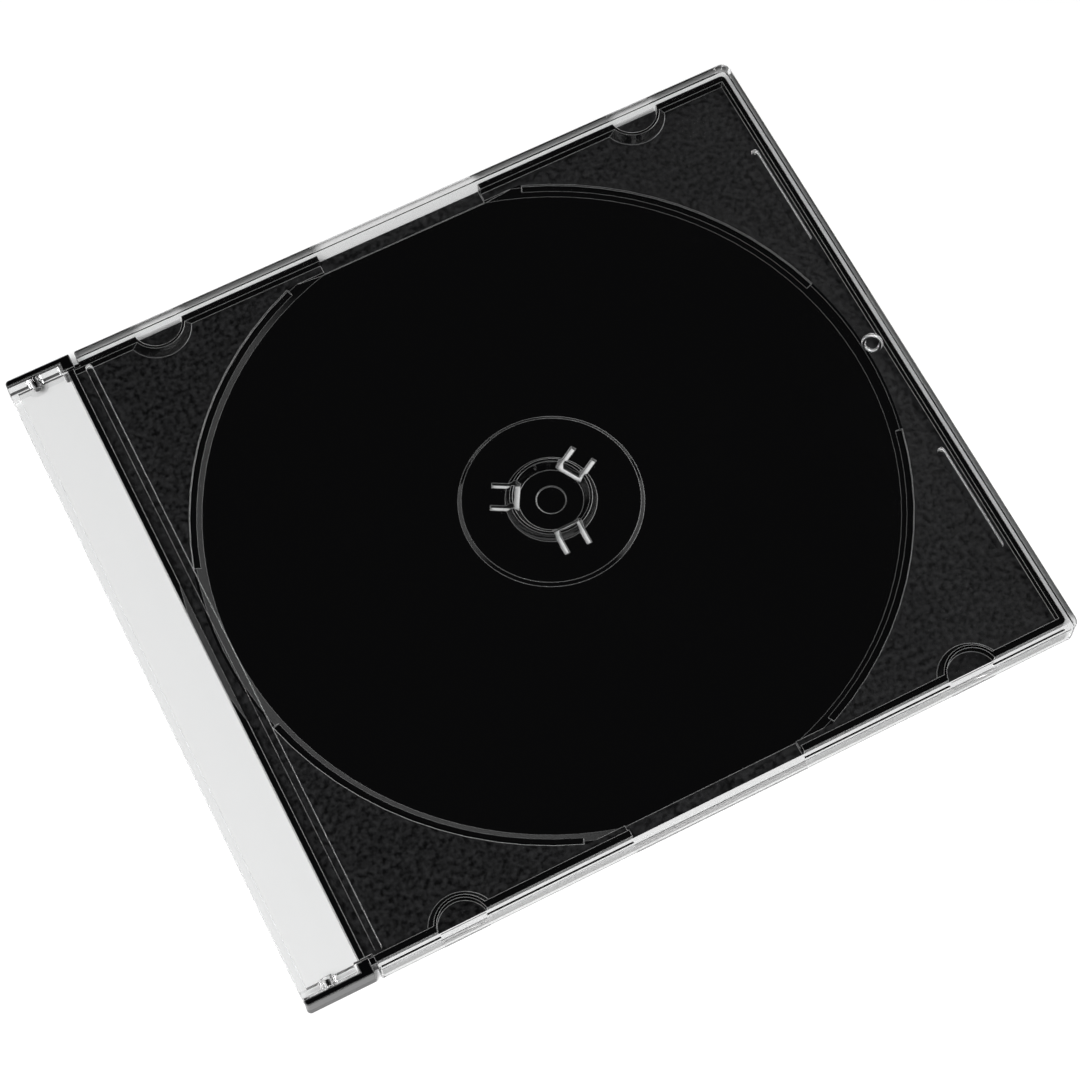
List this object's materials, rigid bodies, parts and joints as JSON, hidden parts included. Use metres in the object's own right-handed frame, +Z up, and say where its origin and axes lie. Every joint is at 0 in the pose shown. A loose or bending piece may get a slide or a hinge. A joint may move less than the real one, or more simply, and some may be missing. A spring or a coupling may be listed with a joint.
{
  "type": "slim jewel case",
  "caption": "Slim hinged plastic case for a compact disc: clear lid over a black tray with a sunken round pocket and a sprung centre hub.",
  "frame": {"origin": "middle of the underside of the closed case, on the surface that it lies on", "axes": "+X from the spine, where the hinge is, to the front edge; +Y along the spine; +Z up through the lid"},
  "size_m": [0.142, 0.124, 0.0052],
  "materials": {
    "clear_polystyrene": "clear, polished, injection-moulded",
    "black_polystyrene": "black, glossy in the pocket and on the hub, finely textured on the raised corners"
  },
  "bodies": {
    "tray": {"tray": "black_polystyrene"},
    "lid": {"lid": "clear_polystyrene"}
  },
  "joints": [
    {"name": "lid_hinge", "type": "hinge", "parent": "tray", "child": "lid", "pos_m": [-0.06615, 0, 0.0026], "axis": [0, -1, 0], "range_deg": [0, 180]}
  ]
}
